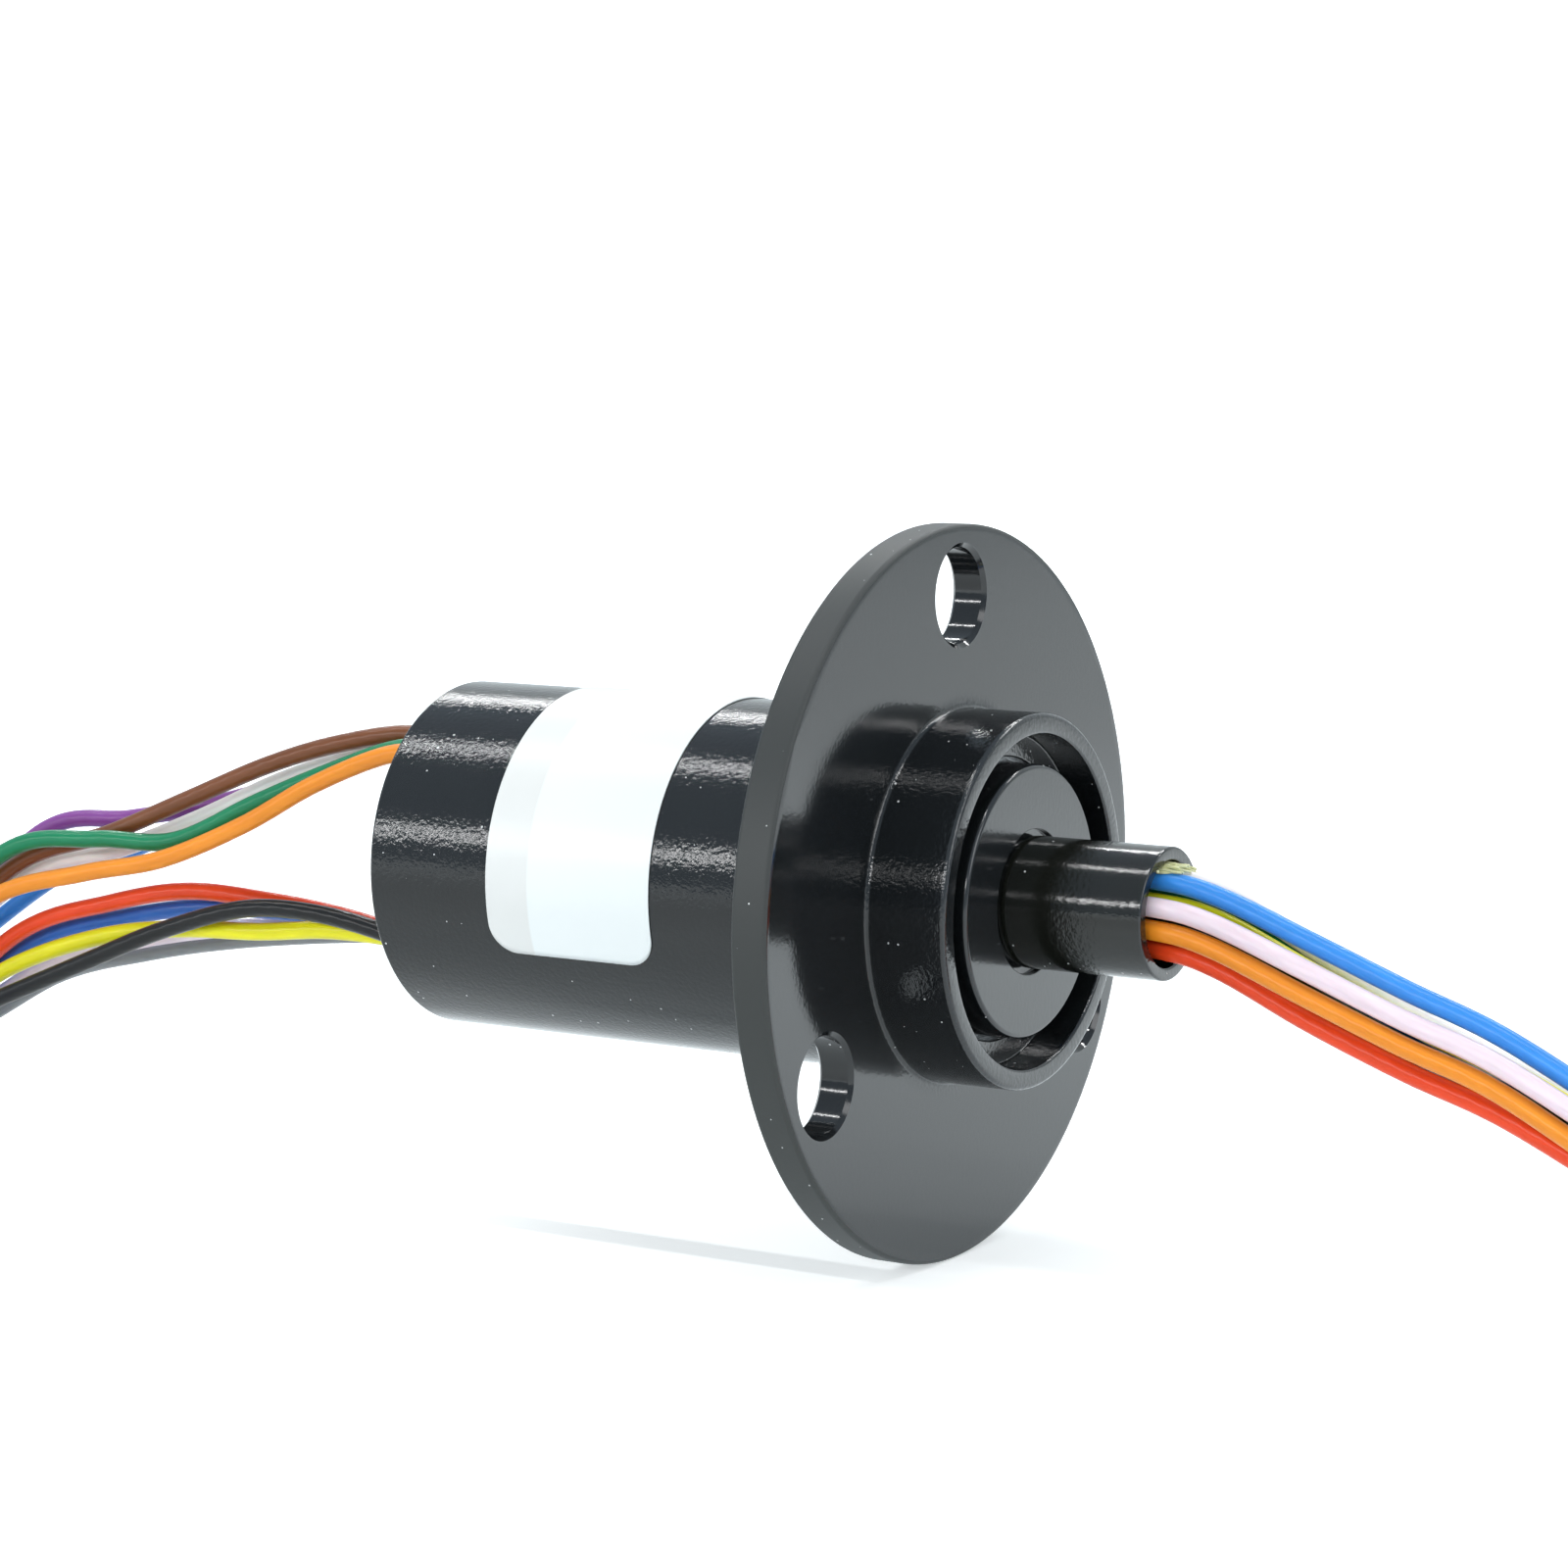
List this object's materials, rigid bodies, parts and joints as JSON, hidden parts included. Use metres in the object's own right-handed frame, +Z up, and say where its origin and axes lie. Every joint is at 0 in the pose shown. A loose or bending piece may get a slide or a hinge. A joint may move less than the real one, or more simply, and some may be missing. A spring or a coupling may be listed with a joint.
{
  "type": "slip ring",
  "caption": "Capsule slip ring with a round bolt-on flange, a rotor tube on ball bearings and loose colour-coded leads folded into hanks at both ends.",
  "frame": {"origin": "on the rotor axis, in the plane of the flange's seat face (the barrel side)", "axes": "+X along the rotor axis towards the rotor leads, +Z up through one bolt hole"},
  "size_m": [0.2428, 0.0466, 0.0445],
  "materials": {
    "black_plastic": "glossy moulded black",
    "rotor_plastic": "glossy moulded black",
    "tube_plastic": "glossy extruded black",
    "inner_plastic": "moulded",
    "label_film": "satin white film, bare",
    "bearing_steel": "ground steel",
    "ball_steel": "polished steel",
    "cage_brass": "pressed brass",
    "clip_steel": "spring steel",
    "resin": "cast resin",
    "contact_gold": "gold plated",
    "spacer_plastic": "moulded insulating plastic",
    "board_laminate": "solder-masked laminate",
    "lead_bundle": "folded coloured leads",
    "tie_nylon": "natural nylon",
    "lead_orange": "extruded insulation",
    "lead_green": "extruded insulation",
    "lead_brown": "extruded insulation",
    "lead_white": "extruded insulation",
    "lead_purple": "extruded insulation",
    "lead_light_blue": "extruded insulation",
    "lead_black": "extruded insulation",
    "lead_yellow": "extruded insulation",
    "lead_red": "extruded insulation",
    "lead_blue": "extruded insulation",
    "lead_pink": "extruded insulation",
    "lead_grey": "extruded insulation"
  },
  "bodies": {
    "stator": {"housing": "black_plastic", "rear_cap": "black_plastic", "label": "label_film", "bearing_retainer": "inner_plastic", "front_bearing_outer_race": "bearing_steel", "front_bearing_shields": "bearing_steel", "rear_bearing_outer_race": "bearing_steel", "rear_bearing_shields": "bearing_steel", "brush_board_upper": "board_laminate", "brush_board_lower": "board_laminate", "brush_wires_upper": "contact_gold", "brush_wires_lower": "contact_gold", "stator_lead_01": "lead_orange", "stator_lead_02": "lead_green", "stator_lead_03": "lead_brown", "stator_lead_04": "lead_white", "stator_lead_05": "lead_purple", "stator_lead_06": "lead_light_blue", "stator_lead_07": "lead_black", "stator_lead_08": "lead_yellow", "stator_lead_09": "lead_red", "stator_lead_10": "lead_blue", "stator_lead_11": "lead_pink", "stator_lead_12": "lead_grey", "stator_hank": "lead_bundle", "stator_hank_ties": "tie_nylon"},
    "rotor": {"rotor_hub": "rotor_plastic", "lead_tube": "tube_plastic", "rotor_circlip": "clip_steel", "stack_collar": "inner_plastic", "rotor_potting": "resin", "front_bearing_inner_race": "bearing_steel", "rear_bearing_inner_race": "bearing_steel", "contact_rings_upper": "contact_gold", "contact_rings_lower": "contact_gold", "ring_spacers": "spacer_plastic", "rotor_lead_01": "lead_light_blue", "rotor_lead_02": "lead_pink", "rotor_lead_03": "lead_orange", "rotor_lead_04": "lead_red", "rotor_lead_05": "lead_yellow", "rotor_lead_06": "lead_black", "rotor_lead_07": "lead_white", "rotor_lead_08": "lead_brown", "rotor_lead_09": "lead_green", "rotor_lead_10": "lead_blue", "rotor_lead_11": "lead_purple", "rotor_lead_12": "lead_grey", "rotor_hank": "lead_bundle", "rotor_hank_ties": "tie_nylon"},
    "front_ball_set": {"front_bearing_balls": "ball_steel", "front_bearing_cage": "cage_brass"},
    "rear_ball_set": {"rear_bearing_balls": "ball_steel", "rear_bearing_cage": "cage_brass"}
  },
  "joints": [
    {"name": "rotor_spin", "type": "hinge", "parent": "stator", "child": "rotor", "pos_m": [0, 0, 0], "axis": [1, 0, 0], "continuous": true},
    {"name": "front_ball_set_spin", "type": "hinge", "parent": "stator", "child": "front_ball_set", "pos_m": [0, 0, 0], "axis": [1, 0, 0], "continuous": true},
    {"name": "rear_ball_set_spin", "type": "hinge", "parent": "stator", "child": "rear_ball_set", "pos_m": [0, 0, 0], "axis": [1, 0, 0], "continuous": true}
  ],
  "couplings": [
    {"joint": "front_ball_set_spin", "follows": "rotor_spin", "ratio": 0.44667},
    {"joint": "rear_ball_set_spin", "follows": "rotor_spin", "ratio": 0.43077}
  ]
}
